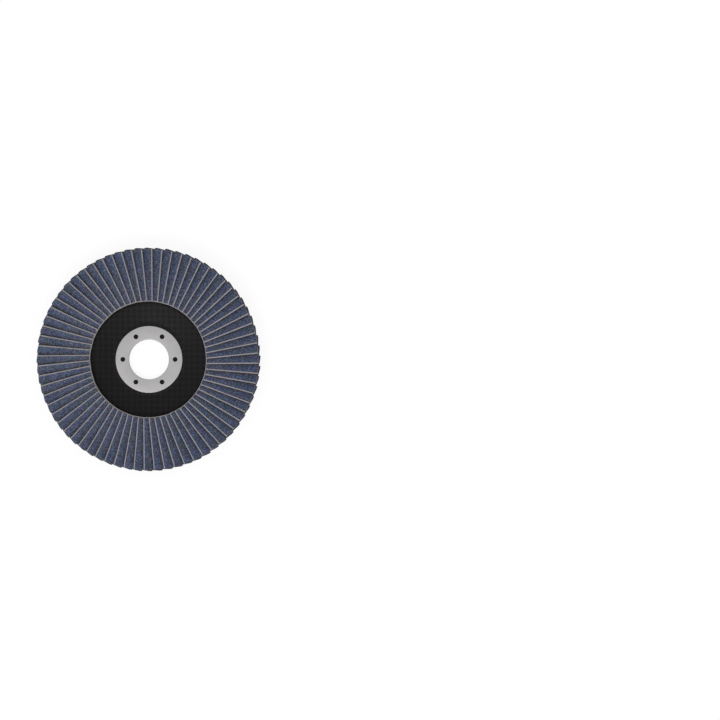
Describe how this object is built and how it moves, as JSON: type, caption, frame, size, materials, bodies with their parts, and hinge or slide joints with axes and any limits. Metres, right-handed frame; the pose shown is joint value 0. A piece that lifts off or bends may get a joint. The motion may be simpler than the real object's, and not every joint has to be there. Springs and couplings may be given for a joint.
{
  "type": "flap disc",
  "caption": "Flap disc for an angle grinder: overlapping abrasive cloth flaps bonded to a dished glass-fibre plate with a steel ring in its bore.",
  "frame": {"origin": "on the bore's axis, at the back face of the hub, on which the disc lies", "axes": "+Z along the bore, out of the abrasive side; +X through the first keying hole of the steel ring"},
  "size_m": [0.125, 0.125, 0.0138],
  "materials": {
    "laminate": "black phenolic resin over woven glass fibre, semi-gloss",
    "ring_steel": "satin galvanised sheet",
    "adhesive": "cured epoxy",
    "abrasive_cloth": "blue-grey zirconia grain on tan cotton cloth"
  },
  "bodies": {
    "root": {"backing_plate": "laminate", "centre_ring": "ring_steel", "adhesive_bed": "adhesive", "flap_pair_01": "abrasive_cloth", "flap_pair_02": "abrasive_cloth", "flap_pair_03": "abrasive_cloth", "flap_pair_04": "abrasive_cloth", "flap_pair_05": "abrasive_cloth", "flap_pair_06": "abrasive_cloth", "flap_pair_07": "abrasive_cloth", "flap_pair_08": "abrasive_cloth", "flap_pair_09": "abrasive_cloth", "flap_pair_10": "abrasive_cloth", "flap_pair_11": "abrasive_cloth", "flap_pair_12": "abrasive_cloth", "flap_pair_13": "abrasive_cloth", "flap_pair_14": "abrasive_cloth", "flap_pair_15": "abrasive_cloth", "flap_pair_16": "abrasive_cloth", "flap_pair_17": "abrasive_cloth", "flap_pair_18": "abrasive_cloth", "flap_pair_19": "abrasive_cloth", "flap_pair_20": "abrasive_cloth", "flap_pair_21": "abrasive_cloth", "flap_pair_22": "abrasive_cloth", "flap_pair_23": "abrasive_cloth", "flap_pair_24": "abrasive_cloth", "flap_pair_25": "abrasive_cloth", "flap_pair_26": "abrasive_cloth", "flap_pair_27": "abrasive_cloth", "flap_pair_28": "abrasive_cloth", "flap_pair_29": "abrasive_cloth", "flap_pair_30": "abrasive_cloth", "flap_pair_31": "abrasive_cloth", "flap_pair_32": "abrasive_cloth", "flap_pair_33": "abrasive_cloth", "flap_pair_34": "abrasive_cloth"}
  },
  "joints": []
}
